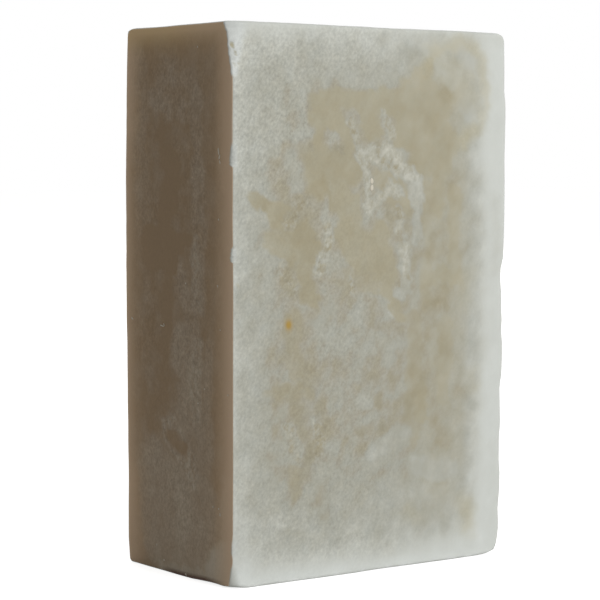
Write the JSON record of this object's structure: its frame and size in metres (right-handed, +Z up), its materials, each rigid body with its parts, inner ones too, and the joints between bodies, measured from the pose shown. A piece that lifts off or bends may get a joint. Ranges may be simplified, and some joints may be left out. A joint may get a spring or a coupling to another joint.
{
  "type": "bar of soap",
  "caption": "Rectangular hand-cut bar of natural soap with a pale ash bloom, crisp narrow-side edges and softly rounded others, standing on one end.",
  "frame": {"origin": "middle of the foot, the end that the bar stands on", "axes": "+Z up the bar's length, -Y out of the large cut face, -X out of the narrow side"},
  "size_m": [0.0516, 0.028, 0.08],
  "materials": {
    "soap": "matte, olive-tan soap under a mottled white ash bloom"
  },
  "bodies": {
    "root": {"soap_bar": "soap"}
  },
  "joints": []
}
